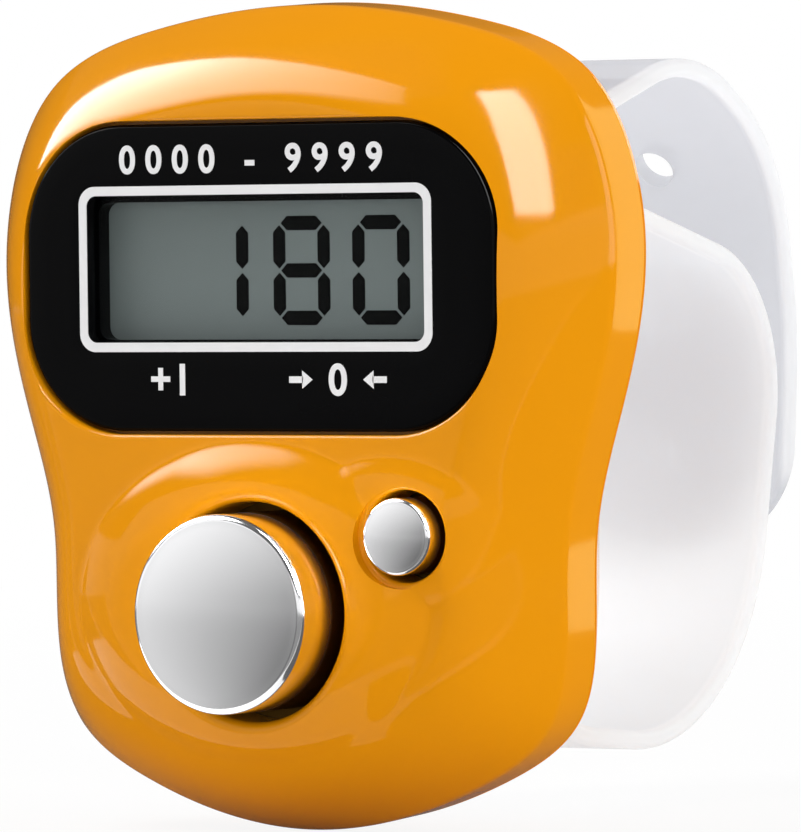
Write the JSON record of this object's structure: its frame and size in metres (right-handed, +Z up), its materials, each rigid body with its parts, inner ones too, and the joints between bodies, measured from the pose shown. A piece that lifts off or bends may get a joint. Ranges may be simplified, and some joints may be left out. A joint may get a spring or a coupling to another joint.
{
  "type": "finger tally counter",
  "caption": "Egg-shaped digital finger counter with a small display, a large count button, a small reset button and a pegged flexible finger strap.",
  "frame": {"origin": "middle of the finger loop, on the finger's axis", "axes": "+Z up the display, -Y out of the front face, +X to the right along the finger, seen from the front"},
  "size_m": [0.0328, 0.0439, 0.0382],
  "materials": {
    "orange_plastic": "high gloss",
    "black_panel": "gloss",
    "clear_window": "clear",
    "lcd_film": "satin grey",
    "lcd_glass": "clear",
    "white_plastic": "satin",
    "grey_rubber": "matte",
    "green_board": "satin",
    "black_resin": "gloss",
    "chip_body": "satin",
    "cell_steel": "satin",
    "spring_steel": "satin",
    "chrome_cap": "chrome plated",
    "carbon_rubber": "matte",
    "screw_steel": "satin",
    "clear_strap": "translucent, soft gloss"
  },
  "bodies": {
    "housing": {"front_shell": "orange_plastic", "back_cover": "orange_plastic", "display_bezel": "black_panel", "window_lens": "clear_window", "lcd_polarizer": "lcd_film", "lcd_front_glass": "lcd_glass", "lcd_rear_glass": "lcd_glass", "lcd_reflector": "lcd_film", "lcd_holder": "white_plastic", "zebra_strips": "grey_rubber", "circuit_board": "green_board", "chip_blob": "black_resin", "smd_parts": "chip_body", "battery": "cell_steel", "battery_clip": "spring_steel", "battery_leaf": "spring_steel", "count_dome": "grey_rubber", "reset_dome": "grey_rubber", "board_screws": "screw_steel", "case_screws": "screw_steel", "upper_strap": "clear_strap", "lower_strap": "clear_strap"},
    "count_key": {"count_button": "chrome_cap", "count_pill": "carbon_rubber"},
    "reset_key": {"reset_button": "chrome_cap", "reset_pill": "carbon_rubber"},
    "tail": {"strap_tail": "clear_strap"}
  },
  "joints": [
    {"name": "count_press", "type": "slide", "parent": "housing", "child": "count_key", "axis": [0, 1, 0], "range_m": [0, 0.0012], "stiffness_N_per_m": 800, "springref_m": -0.0003, "deforming": ["count_dome"]},
    {"name": "reset_press", "type": "slide", "parent": "housing", "child": "reset_key", "axis": [0, 1, 0], "range_m": [0, 0.0008], "stiffness_N_per_m": 800, "springref_m": -0.0003, "deforming": ["reset_dome"]},
    {"name": "tail_peel", "type": "hinge", "parent": "housing", "child": "tail", "pos_m": [0, 0.01806, 0.01057], "axis": [1, 0, 0], "range_deg": [0, 70], "stiffness_Nm_per_rad": 0.001}
  ]
}
